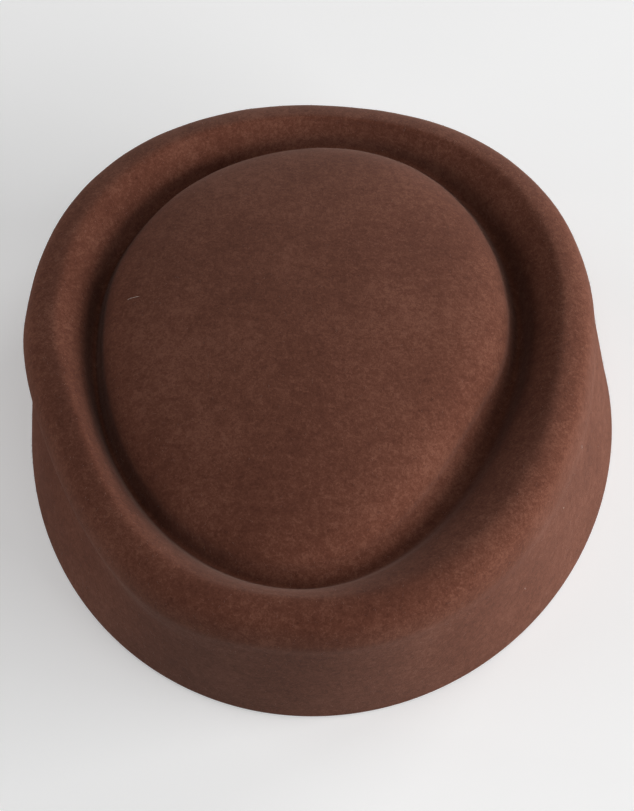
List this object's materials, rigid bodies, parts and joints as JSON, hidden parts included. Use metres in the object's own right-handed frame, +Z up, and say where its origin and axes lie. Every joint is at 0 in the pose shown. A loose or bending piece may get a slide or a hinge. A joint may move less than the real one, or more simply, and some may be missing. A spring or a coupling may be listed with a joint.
{
  "type": "pillbox hat",
  "caption": "Blocked wool felt pillbox hat: domed oval tip in a channel, soft rolled edge, flared side, lined, with a ribbon sweatband.",
  "frame": {"origin": "middle of the hat's bounding box at the height of the hem, which rests on the surface", "axes": "+Z up through the tip, +Y towards the wearer's back, -Y the front of the hat, +X towards the wearer's left"},
  "size_m": [0.1789, 0.2044, 0.0636],
  "materials": {
    "wool_felt": "brushed brown wool felt with a short nap",
    "millinery_wire": "lacquered spring steel",
    "brass": "drawn tube, dull",
    "grosgrain": "ribbed rayon and cotton ribbon",
    "satin": "smooth lining satin",
    "woven_tab": "plain woven tape, blank"
  },
  "bodies": {
    "root": {"felt_body": "wool_felt", "edge_wire": "millinery_wire", "wire_ferrule": "brass", "sweatband": "grosgrain", "ribbon_bow": "grosgrain", "bow_knot": "grosgrain", "size_tab": "woven_tab", "side_lining": "satin", "tip_lining": "satin"}
  },
  "joints": []
}
